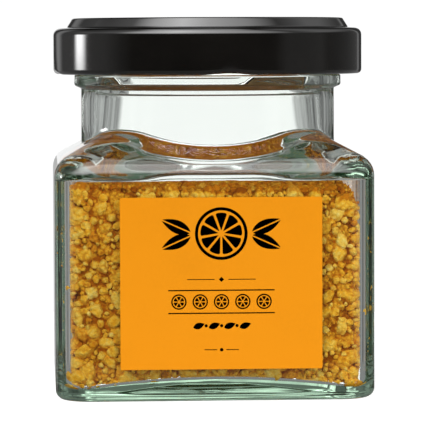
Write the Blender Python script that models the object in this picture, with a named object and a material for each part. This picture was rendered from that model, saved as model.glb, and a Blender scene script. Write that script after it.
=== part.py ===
# Square spice jar of clear glass with a round screw lid and a paper label,
# filled with a heap of dried, crushed orange peel. The jar stands on z = 0 with
# its axis on Z, and the label faces -Y.
import math
import random

import bmesh
import bpy
from mathutils import Vector

mm = 0.001

# Glass body, a rounded square
bodyHalf = 28.2 * mm
bodyCorner = 6.5 * mm
wallThickness = 2.9 * mm
cavityCorner = 3.8 * mm
heelRadius = 3.0 * mm
# Shoulder: a round edge, then a slope up to the neck
shoulderStart = 39.4 * mm
shoulderRadius = 4.0 * mm
shoulderSlope = math.radians(30)
neckBlend = 0.9 * mm
# Round neck, ring below the lid, and the threaded finish inside the lid
neckRadius = 23.1 * mm
neckBore = 20.6 * mm
ringRadius = 24.35 * mm
ringBottom = 54.4 * mm
ringTop = 56.8 * mm
finishRadius = 23.3 * mm
threadRadius = 24.5 * mm
threadCount = 4
threadMiddle = 60.3 * mm
threadRise = 2.2 * mm
threadHalfWidth = 0.9 * mm
rimHeight = 64.3 * mm
rimRound = 0.8 * mm
# Foot: a flat standing ring round a shallow hollow
standingWidth = 3.2 * mm
recessDepth = 1.5 * mm
# Inner floor, a dome that sinks towards the corners
floorMiddle = 5.9 * mm
floorAtWall = 4.2 * mm
floorFillet = 1.6 * mm
# Lid of thin sheet
lidRadius = 28.15 * mm
lidSheet = 0.5 * mm
lidBottom = 57.3 * mm
lidLedge = 65.3 * mm
lidEdgeRadius = 1.3 * mm
lidCurl = 0.8 * mm
plateauFoot = 25.6 * mm
plateauTop = 67.1 * mm
plateauRadius = 24.9 * mm
plateauRound = 0.5 * mm
# Label on the front
labelWidth = 35.3 * mm
labelHeight = 30.05 * mm
labelMiddleX = 0.72 * mm
labelMiddleZ = 20.73 * mm
labelThickness = 0.2 * mm
touchGap = 0.3 * mm
# Heap of peel
heapLevel = 37.6 * mm
heapGap = 0.42 * mm
bumpDepth = 0.7 * mm
granuleSize = (1.3 * mm, 2.3 * mm)
granuleCount = 62
randomSeed = 20

jarSegments = 64
lidSegments = 52
heapSegments = 84


def anglesDenseAtCorners(count, crowding=0.42):
    """Angles round a square, closer together at its four corners."""
    perSide = count // 4
    angles = []
    for side in range(4):
        for step in range(perSide):
            u = 2 * step / perSide - 1
            angles.append(math.pi / 2 * side + math.pi / 4 * (1 + (1 - crowding) * u + crowding * u ** 3))
    return angles


def squareRadius(angle, half, corner):
    """Distance from the axis to a rounded square's outline."""
    a = max(abs(math.cos(angle)), abs(math.sin(angle)))
    b = min(abs(math.cos(angle)), abs(math.sin(angle)))
    if half * b / a <= half - corner:
        return half / a
    middle = (half - corner) * (a + b)
    return middle + math.sqrt(max(middle ** 2 - 2 * (half - corner) ** 2 + corner ** 2, 0.0))


def smoothMax(a, b, width):
    return 0.5 * (a + b + math.sqrt((a - b) ** 2 + width ** 2))


def shoulderDrop(z, radius):
    """How far the side has moved in at height z: an arc, then a straight slope."""
    rise = z - shoulderStart
    arcRise = radius * math.cos(shoulderSlope)
    if rise <= 0:
        return 0.0
    if rise <= arcRise:
        return radius - math.sqrt(radius ** 2 - rise ** 2)
    return radius * (1 - math.sin(shoulderSlope)) + (rise - arcRise) / math.tan(shoulderSlope)


def glassPoint(angle, z, half, corner, radius, neck):
    """A point of the side: the square body where it is wider than the round neck."""
    side = max(half - shoulderDrop(z, radius), 1 * mm)
    square = squareRadius(angle, side, min(corner, side * 0.9))
    reach = smoothMax(square, neck, neckBlend) if z > shoulderStart else square
    return Vector((reach * math.cos(angle), reach * math.sin(angle), z))


def shoulderTop(angle, half, corner, radius, neck):
    """Height at which the sloping square meets the round neck, found by halving."""
    low = shoulderStart
    high = ringBottom
    for _ in range(30):
        z = 0.5 * (low + high)
        side = max(half - shoulderDrop(z, radius), 1 * mm)
        if squareRadius(angle, side, min(corner, side * 0.9)) > neck:
            low = z
        else:
            high = z
    return low


def outsidePoint(angle, z):
    return glassPoint(angle, z, bodyHalf, bodyCorner, shoulderRadius, neckRadius)


def outsideShoulder(angle, share):
    """A point part of the way up the shoulder; above share 1 it is on the neck."""
    top = shoulderTop(angle, bodyHalf, bodyCorner, shoulderRadius, neckRadius)
    return outsidePoint(angle, shoulderStart + share * (top - shoulderStart))


def cavityPoint(angle, z, gap=0.0):
    return glassPoint(angle, z, bodyHalf - wallThickness - gap, cavityCorner,
                      shoulderRadius - wallThickness + gap, neckBore - gap)


def cavityShoulder(angle, share):
    top = shoulderTop(angle, bodyHalf - wallThickness, cavityCorner, shoulderRadius - wallThickness, neckBore)
    return cavityPoint(angle, shoulderStart + share * (top - shoulderStart))


def floorHeight(x, y):
    half = bodyHalf - wallThickness
    return floorMiddle - (floorMiddle - floorAtWall) * (x ** 2 + y ** 2) / half ** 2


def floorPoint(angle, inset, share=1.0, gap=0.0):
    """A point of the inner floor, or of the fillet round it."""
    half = bodyHalf - wallThickness - gap - inset
    reach = share * squareRadius(angle, half, max(cavityCorner - 0.6 * inset, 1 * mm))
    x = reach * math.cos(angle)
    y = reach * math.sin(angle)
    return Vector((x, y, floorHeight(x, y) + gap))


def roundPoint(angle, radius, z):
    return Vector((radius * math.cos(angle), radius * math.sin(angle), z))


def makeNode(name, bm, color, roughness, metallic=0.0, transmission=0.0):
    bmesh.ops.recalc_face_normals(bm, faces=bm.faces)
    mesh = bpy.data.meshes.new(name)
    bm.to_mesh(mesh)
    bm.free()
    node = bpy.data.objects.new(name, mesh)
    bpy.context.scene.collection.objects.link(node)
    material = bpy.data.materials.new(name)
    material.use_nodes = True
    shader = material.node_tree.nodes["Principled BSDF"]
    shader.inputs["Base Color"].default_value = (*color, 1)
    shader.inputs["Roughness"].default_value = roughness
    shader.inputs["Metallic"].default_value = metallic
    shader.inputs["Transmission Weight"].default_value = transmission
    mesh.materials.append(material)
    mesh.shade_smooth()
    mesh.set_sharp_from_angle(angle=math.radians(35))
    return node


def loft(rings, firstTip, lastTip):
    """A closed skin: a tip, rings of equal count extruded one from another, a tip."""
    bm = bmesh.new()
    circle = bmesh.ops.create_circle(bm, segments=len(rings[0]), radius=1, cap_ends=False)
    ring = circle["verts"]
    ring.sort(key=lambda vert: math.atan2(vert.co.y, vert.co.x) % (2 * math.pi))
    for vert, point in zip(ring, rings[0]):
        vert.co = point
    tip = bm.verts.new(firstTip)
    for a, b in zip(ring, ring[1:] + ring[:1]):
        bm.faces.new((a, b, tip))
    for points in rings[1:]:
        edges = [bm.edges.get((a, b)) for a, b in zip(ring, ring[1:] + ring[:1])]
        grown = bmesh.ops.extrude_edge_only(bm, edges=edges)["geom"]
        made = {vert for vert in grown if isinstance(vert, bmesh.types.BMVert)}
        ring = [next(edge.other_vert(vert) for edge in vert.link_edges if edge.other_vert(vert) in made)
                for vert in ring]
        for vert, point in zip(ring, points):
            vert.co = point
    tip = bm.verts.new(lastTip)
    for a, b in zip(ring, ring[1:] + ring[:1]):
        bm.faces.new((b, a, tip))
    return bm


def threadShift(angle):
    """Sloping run of each thread: falls over its own share of the turn, then jumps back."""
    share = (angle * threadCount / (2 * math.pi)) % 1.0
    if share < 0.8:
        return threadRise * (0.5 - share / 0.8)
    return threadRise * ((share - 0.8) / 0.2 - 0.5)


def threadHeight(angle):
    share = (angle * threadCount / (2 * math.pi)) % 1.0
    return math.sin(math.pi * min(share / 0.8, 1.0)) ** 0.6 * (threadRadius - finishRadius)


def jarRings(angles):
    rings = []
    standingInner = bodyHalf - heelRadius - standingWidth
    # Hollow under the foot, out to the flat standing ring
    for share in (0.35, 0.7, 0.93):
        z = recessDepth * (1 - share ** 2) + 0.12 * mm
        rings.append([share * roundPoint(a, squareRadius(a, standingInner, 3 * mm), 0) + Vector((0, 0, z))
                      for a in angles])
    for half in (standingInner, bodyHalf - heelRadius):
        corner = bodyCorner - bodyHalf + half if half > standingInner else 3 * mm
        rings.append([roundPoint(a, squareRadius(a, half, corner), 0) for a in angles])
    for turn in (30, 60, 90):
        inset = heelRadius * (1 - math.sin(math.radians(turn)))
        z = heelRadius * (1 - math.cos(math.radians(turn)))
        rings.append([roundPoint(a, squareRadius(a, bodyHalf - inset, bodyCorner - inset), z) for a in angles])
    rings.append([outsidePoint(a, shoulderStart) for a in angles])
    for share in (0.27, 0.47, 0.66, 0.86, 0.97, 1.05, 1.2):
        rings.append([outsideShoulder(a, share) for a in angles])
    # Ring below the lid
    rings.append([roundPoint(a, neckRadius, ringBottom - 0.3 * mm) for a in angles])
    rings.append([roundPoint(a, ringRadius, ringBottom + 0.7 * mm) for a in angles])
    rings.append([roundPoint(a, ringRadius, ringTop - 0.3 * mm) for a in angles])
    rings.append([roundPoint(a, finishRadius, ringTop) for a in angles])
    # Threads, whose rows follow their slope
    for side, share in ((-1, 0.0), (0, 1.0), (1, 0.0)):
        rings.append([roundPoint(a, finishRadius + share * threadHeight(a),
                                 threadMiddle + threadShift(a) + side * threadHalfWidth) for a in angles])
    # Rim and bore
    rings.append([roundPoint(a, finishRadius, rimHeight - rimRound) for a in angles])
    rings.append([roundPoint(a, finishRadius - rimRound, rimHeight) for a in angles])
    rings.append([roundPoint(a, neckBore + 0.5 * mm, rimHeight) for a in angles])
    rings.append([roundPoint(a, neckBore, rimHeight - 0.5 * mm) for a in angles])
    for share in (1.3, 1.1, 0.97, 0.8, 0.5, 0.3, 0.12):
        rings.append([cavityShoulder(a, share) for a in angles])
    rings.append([cavityPoint(a, shoulderStart - 0.6 * mm) for a in angles])
    for turn in (0, 45):
        inset = floorFillet * (1 - math.cos(math.radians(turn)))
        lift = Vector((0, 0, floorFillet * (1 - math.sin(math.radians(turn)))))
        rings.append([floorPoint(a, inset) + lift for a in angles])
    for share in (1.0, 0.66, 0.33):
        rings.append([floorPoint(a, floorFillet, share) for a in angles])
    return rings


def makeJar():
    angles = anglesDenseAtCorners(jarSegments)
    bm = loft(jarRings(angles), (0, 0, recessDepth + 0.12 * mm), (0, 0, floorMiddle))
    return makeNode("jar", bm, (0.86, 0.93, 0.88), 0.03, transmission=1.0)


def lidProfile():
    """Half section of the lid, from its middle out, down, round the curl and back in."""
    outline = [(0.0, plateauTop)]
    for turn in (0, 45, 90):
        angle = math.radians(turn)
        outline.append((plateauRadius - plateauRound * (1 - math.sin(angle)),
                        plateauTop - plateauRound * (1 - math.cos(angle))))
    outline.append((plateauFoot, lidLedge + 0.3 * mm))
    outline.append((plateauFoot + 0.35 * mm, lidLedge))
    for turn in (0, 30, 60, 90):
        angle = math.radians(turn)
        outline.append((lidRadius - lidEdgeRadius * (1 - math.sin(angle)),
                        lidLedge - lidEdgeRadius * (1 - math.cos(angle))))
    for turn in (0, 45, 90, 135, 180):
        angle = math.radians(turn)
        outline.append((lidRadius - lidCurl * (1 - math.cos(angle)), lidBottom + lidCurl * (1 - math.sin(angle))))
    inner = lidRadius - lidSheet
    outline.append((inner - 0.9 * mm, lidBottom + 1.4 * mm))
    outline.append((inner, lidBottom + 2.0 * mm))
    outline.append((inner, lidLedge - lidEdgeRadius))
    outline.append((inner - 0.8 * mm, lidLedge - lidSheet))
    outline.append((plateauFoot - 0.2 * mm, lidLedge - lidSheet))
    outline.append((plateauRadius - lidSheet, plateauTop - lidSheet))
    outline.append((0.0, plateauTop - lidSheet))
    return outline


def makeLid():
    bm = bmesh.new()
    verts = [bm.verts.new((radius, 0, z)) for radius, z in lidProfile()]
    edges = [bm.edges.new(pair) for pair in zip(verts, verts[1:])]
    bmesh.ops.spin(bm, geom=verts + edges, cent=(0, 0, 0), axis=(0, 0, 1), angle=2 * math.pi,
                   steps=lidSegments, use_merge=True)
    bmesh.ops.remove_doubles(bm, verts=bm.verts, dist=0.01 * mm)
    return makeNode("lid", bm, (0.012, 0.011, 0.010), 0.2)


def makeLabel():
    bm = bmesh.new()
    bmesh.ops.create_cube(bm, size=1)
    bmesh.ops.scale(bm, verts=bm.verts, vec=(labelWidth, labelThickness, labelHeight))
    front = -bodyHalf - touchGap - labelThickness / 2
    bmesh.ops.translate(bm, verts=bm.verts, vec=(labelMiddleX, front, labelMiddleZ))
    return makeNode("label", bm, (0.90, 0.32, 0.01), 0.55)


def heapTop(x, y):
    """Level of the peel: a little higher to the left, sunk at the front right corner."""
    dip = 2.6 * mm * math.exp(-((x - 25 * mm) ** 2 + (y + 22 * mm) ** 2) / (2 * (4 * mm) ** 2))
    wave = 0.5 * mm * math.cos(x / (8 * mm)) * math.cos(y / (9 * mm) + 0.6)
    return heapLevel - 0.012 * x - dip + wave


def heapRings(angles, rng):
    def bump(depth=bumpDepth):
        return rng.uniform(0.0, depth)

    rings = []
    for share in (0.3, 0.62):
        rings.append([floorPoint(a, floorFillet, share, heapGap) + Vector((0, 0, bump(0.3 * mm)))
                      for a in angles])
    rings.append([floorPoint(a, floorFillet, 1.0, heapGap + 0.1 * mm) for a in angles])
    rings.append([floorPoint(a, 0.0, 1.0, heapGap + bump(0.4 * mm)) + Vector((0, 0, floorFillet))
                  for a in angles])
    sideStart = floorAtWall + 3.2 * mm
    sideRows = 13
    for row in range(sideRows + 1):
        points = []
        for a in angles:
            edge = cavityPoint(a, 0.0, heapGap)
            top = min(heapTop(edge.x, edge.y), shoulderStart - 0.3 * mm) - 0.3 * mm
            z = sideStart + (top - sideStart) * row / sideRows
            if 0 < row < sideRows:
                z += rng.uniform(-0.5, 0.5) * mm
            points.append(cavityPoint(a, z, heapGap + bump()))
        rings.append(points)
    for share in (0.93, 0.82, 0.68, 0.5, 0.28):
        points = []
        for a in angles:
            edge = cavityPoint(a, 0.0, heapGap) * (share + rng.uniform(-0.02, 0.02))
            points.append(Vector((edge.x, edge.y, heapTop(edge.x, edge.y) + rng.uniform(-0.4, 0.5) * mm)))
        rings.append(points)
    return rings


def makeGranule(rng, collection):
    """One crumb of peel lying on the heap: a small faceted lump, half sunk in."""
    size = rng.uniform(*granuleSize)
    reach = bodyHalf - wallThickness - heapGap - 1.8 * mm
    x = rng.uniform(-reach, reach)
    y = rng.uniform(-reach, reach)
    bm = bmesh.new()
    bmesh.ops.create_icosphere(bm, subdivisions=1, radius=size / 2)
    for vert in bm.verts:
        vert.co *= rng.uniform(0.75, 1.2)
        vert.co.z *= 0.8
    bmesh.ops.translate(bm, verts=bm.verts, vec=(x, y, min(heapTop(x, y) + 0.1 * size, shoulderStart)))
    mesh = bpy.data.meshes.new("granule")
    bm.to_mesh(mesh)
    bm.free()
    collection.objects.link(bpy.data.objects.new("granule", mesh))


def keepLargestBody(mesh):
    """Drops scraps that the union left loose."""
    bm = bmesh.new()
    bm.from_mesh(mesh)
    unseen = set(bm.verts)
    bodies = []
    while unseen:
        body = set()
        front = [unseen.pop()]
        while front:
            vert = front.pop()
            body.add(vert)
            near = {edge.other_vert(vert) for edge in vert.link_edges} & unseen
            unseen -= near
            front.extend(near)
        bodies.append(body)
    largest = max(bodies, key=len)
    bmesh.ops.delete(bm, geom=[vert for vert in bm.verts if vert not in largest], context="VERTS")
    bm.to_mesh(mesh)
    bm.free()


def makeHeap():
    rng = random.Random(randomSeed)
    angles = anglesDenseAtCorners(heapSegments, 0.3)
    bm = loft(heapRings(angles, rng), (0, 0, floorMiddle + heapGap), (0, 0, heapTop(0, 0)))
    heap = makeNode("orange_peel", bm, (0.60, 0.33, 0.05), 0.85)
    granules = bpy.data.collections.new("granules")
    bpy.context.scene.collection.children.link(granules)
    for _ in range(granuleCount):
        makeGranule(rng, granules)
    union = heap.modifiers.new("granules", "BOOLEAN")
    union.operation = "UNION"
    union.operand_type = "COLLECTION"
    union.collection = granules
    union.solver = "EXACT"
    bpy.context.view_layer.update()
    joined = bpy.data.meshes.new_from_object(heap.evaluated_get(bpy.context.evaluated_depsgraph_get()))
    heap.modifiers.clear()
    keepLargestBody(joined)
    heap.data = joined
    for granule in list(granules.objects):
        bpy.data.objects.remove(granule)
    bpy.data.collections.remove(granules)
    return heap


def main():
    for item in list(bpy.data.objects):
        bpy.data.objects.remove(item)
    makeJar()
    makeLid()
    makeLabel()
    makeHeap()


main()
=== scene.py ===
# Square glass spice jar with a black screw lid, full of dried, crushed orange peel.
import math
import random

import bmesh
import bpy
import numpy as np
from mathutils import Euler, Matrix, Vector, noise


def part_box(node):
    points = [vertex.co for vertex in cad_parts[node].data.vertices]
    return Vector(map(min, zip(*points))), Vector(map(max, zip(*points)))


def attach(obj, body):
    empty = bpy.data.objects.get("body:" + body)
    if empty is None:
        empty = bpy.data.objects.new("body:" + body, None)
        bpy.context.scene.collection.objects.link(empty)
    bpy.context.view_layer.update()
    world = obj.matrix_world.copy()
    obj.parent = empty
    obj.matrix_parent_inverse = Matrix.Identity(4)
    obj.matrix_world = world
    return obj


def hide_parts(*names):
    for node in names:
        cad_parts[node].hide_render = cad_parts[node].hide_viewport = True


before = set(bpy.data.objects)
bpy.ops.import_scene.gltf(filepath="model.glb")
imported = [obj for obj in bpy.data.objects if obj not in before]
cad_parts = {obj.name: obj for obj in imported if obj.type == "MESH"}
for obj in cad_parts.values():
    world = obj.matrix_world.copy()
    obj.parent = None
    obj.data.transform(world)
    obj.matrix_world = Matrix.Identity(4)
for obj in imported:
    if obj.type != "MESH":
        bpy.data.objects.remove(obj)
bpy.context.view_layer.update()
mm = 0.001


# Sizes that all pieces share, read from the frame

jarLow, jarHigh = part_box("jar")
lidLow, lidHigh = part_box("lid")
labelLow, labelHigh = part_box("label")
bodyHalf = jarHigh[0]
rimHeight = jarHigh[2]
lidBottom = lidLow[2] - 0.35 * mm  # the rolled edge hangs a little below the plain solid's
lidTop = lidHigh[2]
lidRadius = lidHigh[0]

glassShape = {
    "bodyCorner": 6.5 * mm,
    "wall": 2.6 * mm,
    "cavityCorner": 3.5 * mm,
    "heelRadius": 1.6 * mm,
    "shoulderStart": 39.2 * mm,
    "shoulderRadius": 4.0 * mm,
    "shoulderSlope": math.radians(28.5),
    "cornerTop": 8 * mm,
    "cavityCornerTop": 20 * mm,
    "cavityShoulder": 38.6 * mm,
    "neckBlend": 0.35 * mm,
    "boreBlend": 4.0 * mm,
    "flareTurn": 30,
    "flareLoss": 0.5,
    "flareFade": 3 * mm,
    "neckRadius": 23.1 * mm,
    "neckBore": 20.6 * mm,
    "ringRadius": 24.35 * mm,
    "ringBottom": 54.7 * mm,
    "ringTop": 56.8 * mm,
    "ringLean": 0.5 * mm,
    "leanTurn": 42,
    "leanFrom": 54,
    "leanFade": 6,
    "finishRadius": 23.3 * mm,
    "threadRadius": 24.5 * mm,
    "threadCount": 4,
    "threadMiddle": 60.3 * mm,
    "threadRise": 2.2 * mm,
    "threadRun": 0.8,
    "threadGap": 0.2,
    "threadHalfWidth": 0.9 * mm,
    "rimRound": 0.8 * mm,
    "standingWidth": 3.2 * mm,
    "recessDepth": 1.5 * mm,
    "floorMiddle": 5.4 * mm,
    "floorAtWall": 3.4 * mm,
    "floorFillet": 1.6 * mm,
    "segments": 192,
    "cornerCrowding": 0.42,
}


def smoothMax(a, b, width):
    return 0.5 * (a + b + math.sqrt((a - b) ** 2 + width ** 2))


def squareRadius(angle, half, corner):  # from the axis to a rounded square's outline
    a = max(abs(math.cos(angle)), abs(math.sin(angle)))
    b = min(abs(math.cos(angle)), abs(math.sin(angle)))
    if half * b / a <= half - corner:
        return half / a
    middle = (half - corner) * (a + b)
    return middle + math.sqrt(max(middle ** 2 - 2 * (half - corner) ** 2 + corner ** 2, 0.0))


def polar(angle, reach, z):
    return Vector((reach * math.cos(angle), reach * math.sin(angle), z))


class Skin:
    # One face of the glass, outer or inner: a rounded square that turns into a round neck
    def __init__(self, half, corner, cornerTop, edgeRadius, neck, blend, start, rounding):
        self.half = half
        self.corner = corner
        self.cornerTop = cornerTop
        self.edgeRadius = edgeRadius
        self.neck = neck
        self.blend = blend
        self.start = start
        self.rounding = rounding  # below 1 the corners grow round low down on the shoulder

    def drop(self, z):  # how far the side has moved in: an arc, then a slope
        slope = glassShape["shoulderSlope"]
        rise = z - self.start
        arcRise = self.edgeRadius * math.cos(slope)
        if rise <= 0:
            return 0.0
        if rise <= arcRise:
            return self.edgeRadius - math.sqrt(self.edgeRadius ** 2 - rise ** 2)
        return self.edgeRadius * (1 - math.sin(slope)) + (rise - arcRise) / math.tan(slope)

    def climb(self, z):  # 0 on the upright side, 1 where its middle meets the neck
        return min(self.drop(z) / (self.half - self.neck), 1.0)

    def square(self, angle, z):  # corners grow rounder on the way up to the neck
        side = max(self.half - self.drop(z), 1 * mm)
        corner = self.corner + (self.cornerTop - self.corner) * self.climb(z) ** self.rounding
        return squareRadius(angle, side, min(corner, side * 0.95))

    def point(self, angle, z):  # the flare into the neck is wide at the faces, tight at the corners
        reach = self.square(angle, z)
        if z > self.start:
            g = glassShape
            fromFace = abs((math.degrees(angle) + 45) % 90 - 45)  # 45 degrees at a corner
            tight = min(max((fromFace - g["flareTurn"]) / (45 - g["flareTurn"]), 0.0), 1.0)
            up = min(max((z - self.neckFoot(angle)) / g["flareFade"], 0.0), 1.0)
            tight = g["flareLoss"] * tight * tight * (3 - 2 * tight) * (1 - up)
            blend = self.blend * (1 - tight) * self.climb(z)
            reach = min(smoothMax(reach, self.neck, blend), self.square(angle, self.start))
        return polar(angle, reach, z)

    def neckFoot(self, angle):  # height where the slope meets the neck, found by halving
        low = self.start
        high = glassShape["ringBottom"]
        for _ in range(26):
            z = 0.5 * (low + high)
            if self.square(angle, z) > self.neck:
                low = z
            else:
                high = z
        return low

    def shoulder(self, angle, share):
        return self.point(angle, self.start + share * (self.neckFoot(angle) - self.start))


outerSkin = Skin(bodyHalf, glassShape["bodyCorner"], glassShape["cornerTop"], glassShape["shoulderRadius"],
                 glassShape["neckRadius"], glassShape["neckBlend"], glassShape["shoulderStart"], 1.0)
innerSkin = Skin(bodyHalf - glassShape["wall"], glassShape["cavityCorner"], glassShape["cavityCornerTop"],
                 glassShape["shoulderRadius"] - glassShape["wall"], glassShape["neckBore"],
                 glassShape["boreBlend"], glassShape["cavityShoulder"], 0.05)


def floorHeight(x, y):
    g = glassShape
    return g["floorMiddle"] - (g["floorMiddle"] - g["floorAtWall"]) * (x ** 2 + y ** 2) / innerSkin.half ** 2


# Helpers for meshes and materials

def finishPiece(name, bm, material, smoothAngle=40):
    bmesh.ops.recalc_face_normals(bm, faces=bm.faces)
    mesh = bpy.data.meshes.new(name)
    bm.to_mesh(mesh)
    bm.free()
    piece = bpy.data.objects.new(name, mesh)
    bpy.context.scene.collection.objects.link(piece)
    mesh.materials.append(material)
    mesh.shade_smooth()
    mesh.set_sharp_from_angle(angle=math.radians(smoothAngle))
    return piece


def place(piece, slot, *nodes):
    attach(piece, "root")
    if nodes:
        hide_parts(*nodes)


def newMaterial(name, **values):
    material = bpy.data.materials.new(name)
    material.use_nodes = True
    shader = material.node_tree.nodes["Principled BSDF"]
    for socket, value in values.items():
        shader.inputs[socket.replace("_", " ")].default_value = value
    return material, material.node_tree, shader


def addNode(tree, kind, settings=None, **inputs):
    node = tree.nodes.new(kind)
    for key, value in (settings or {}).items():
        setattr(node, key, value)
    for socket, value in inputs.items():
        byNumber = socket[0] == "i" and socket[1:].isdigit()
        target = node.inputs[int(socket[1:]) if byNumber else socket.replace("_", " ")]
        if isinstance(value, bpy.types.NodeSocket):
            tree.links.new(value, target)
        else:
            target.default_value = value
    return node


def grain(tree, scale, detail, roughness=0.5):  # noise that is fixed to the piece
    where = addNode(tree, "ShaderNodeTexCoord").outputs["Object"]
    return addNode(tree, "ShaderNodeTexNoise", Vector=where, Scale=scale, Detail=detail,
                   Roughness=roughness).outputs[0]


def addBump(tree, shader, height, strength, distance):
    bump = addNode(tree, "ShaderNodeBump", Height=height, Strength=strength, Distance=distance)
    tree.links.new(bump.outputs["Normal"], shader.inputs["Normal"])


def ramp(tree, source, stops):
    node = addNode(tree, "ShaderNodeValToRGB", Fac=source)
    elements = node.color_ramp.elements
    while len(elements) < len(stops):
        elements.new(0.5)
    for element, (position, color) in zip(elements, stops):
        element.position = position
        element.color = (*color, 1) if len(color) == 3 else color
    return node.outputs["Color"]


def loft(rings, firstTip, lastTip):  # rings of equal count, extruded one from another
    bm = bmesh.new()
    ring = bmesh.ops.create_circle(bm, segments=len(rings[0]), radius=1)["verts"]
    ring.sort(key=lambda vert: math.atan2(vert.co.y, vert.co.x) % (2 * math.pi))
    for vert, point in zip(ring, rings[0]):
        vert.co = point
    tip = bm.verts.new(firstTip)
    for a, b in zip(ring, ring[1:] + ring[:1]):
        bm.faces.new((a, b, tip))
    for points in rings[1:]:
        edges = [bm.edges.get((a, b)) for a, b in zip(ring, ring[1:] + ring[:1])]
        grown = bmesh.ops.extrude_edge_only(bm, edges=edges)["geom"]
        made = {vert for vert in grown if isinstance(vert, bmesh.types.BMVert)}
        ring = [next(e.other_vert(v) for e in v.link_edges if e.other_vert(v) in made) for v in ring]
        for vert, point in zip(ring, points):
            vert.co = point
    tip = bm.verts.new(lastTip)
    for a, b in zip(ring, ring[1:] + ring[:1]):
        bm.faces.new((b, a, tip))
    return bm


def arc(start, end, count):  # angles in radians from start to end degrees, both ends in
    return [math.radians(start + (end - start) * step / count) for step in range(count + 1)]


# Glass

glassLook = {
    "tint": (0.985, 0.995, 0.988, 1),
    "ior": 1.52,
    "absorbColor": (0.50, 0.74, 0.55, 1),
    "absorbDensity": 28.0,
    "waveSize": 90.0,
    "waveDepth": 0.018,
}


def glassMaterial():
    k = glassLook
    material, tree, shader = newMaterial("clear greenish bottle glass", Base_Color=k["tint"], Roughness=0.0,
                                         IOR=k["ior"], Transmission_Weight=1.0)
    output = tree.nodes["Material Output"]
    place3d = addNode(tree, "ShaderNodeTexCoord").outputs["Object"]
    stretch = addNode(tree, "ShaderNodeMapping", Vector=place3d, Scale=(1.0, 1.0, 0.35))
    wave = addNode(tree, "ShaderNodeTexNoise", Vector=stretch.outputs["Vector"], Scale=k["waveSize"],
                   Detail=2.0, Roughness=0.4)
    addBump(tree, shader, wave.outputs[0], 1.0, k["waveDepth"] * mm)
    clear = addNode(tree, "ShaderNodeBsdfTransparent", Color=(0.99, 1.0, 0.99, 1))
    rays = addNode(tree, "ShaderNodeLightPath")
    mix = addNode(tree, "ShaderNodeMixShader", i0=rays.outputs["Is Shadow Ray"], i1=shader.outputs[0],
                  i2=clear.outputs[0])
    tree.links.new(mix.outputs[0], output.inputs["Surface"])
    absorb = addNode(tree, "ShaderNodeVolumeAbsorption", Color=k["absorbColor"], Density=k["absorbDensity"])
    tree.links.new(absorb.outputs[0], output.inputs["Volume"])
    return material


def jarAngles(count, crowding):  # closer together at the four corners
    perSide = count // 4
    angles = []
    for side in range(4):
        for step in range(perSide):
            u = 2 * step / perSide - 1
            angles.append(math.pi / 2 * side + math.pi / 4 * (1 + (1 - crowding) * u + crowding * u ** 3))
    return angles


def threadShift(angle):  # each thread falls over its share of the turn, then jumps back
    g = glassShape
    share = (angle * g["threadCount"] / (2 * math.pi)) % 1.0
    if share < g["threadRun"]:
        return g["threadRise"] * (0.5 - share / g["threadRun"])
    return g["threadRise"] * ((share - g["threadRun"]) / g["threadGap"] - 0.5)


def threadHeight(angle):
    g = glassShape
    share = (angle * g["threadCount"] / (2 * math.pi)) % 1.0
    crest = g["threadRadius"] - g["finishRadius"]
    return math.sin(math.pi * min(share / g["threadRun"], 1.0)) ** 0.6 * crest


def ringLean(angle):  # below each thread's end the ring's side leans in
    g = glassShape
    turn = (math.degrees(angle) + 90 + g["leanTurn"]) % 90
    share = min(max((turn - g["leanFrom"]) / g["leanFade"], 0.0), 1.0)
    return g["ringLean"] * (share * min(max((90 - turn) / g["leanFade"], 0.0), 1.0))


# Rows of the shoulder, as shares of its rise to the neck
outerRows = (0.08, 0.17, 0.27, 0.36, 0.45, 0.54, 0.63, 0.72, 0.8, 0.87, 0.93, 0.98, 1.03, 1.08, 1.15, 1.25)
innerRows = (2.6, 2.2, 1.9, 1.7, 1.55, 1.42, 1.32, 1.23, 1.15, 1.07, 1, 0.93, 0.86, 0.78, 0.7, 0.6, 0.5, 0.4,
             0.3, 0.2, 0.1)


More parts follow.
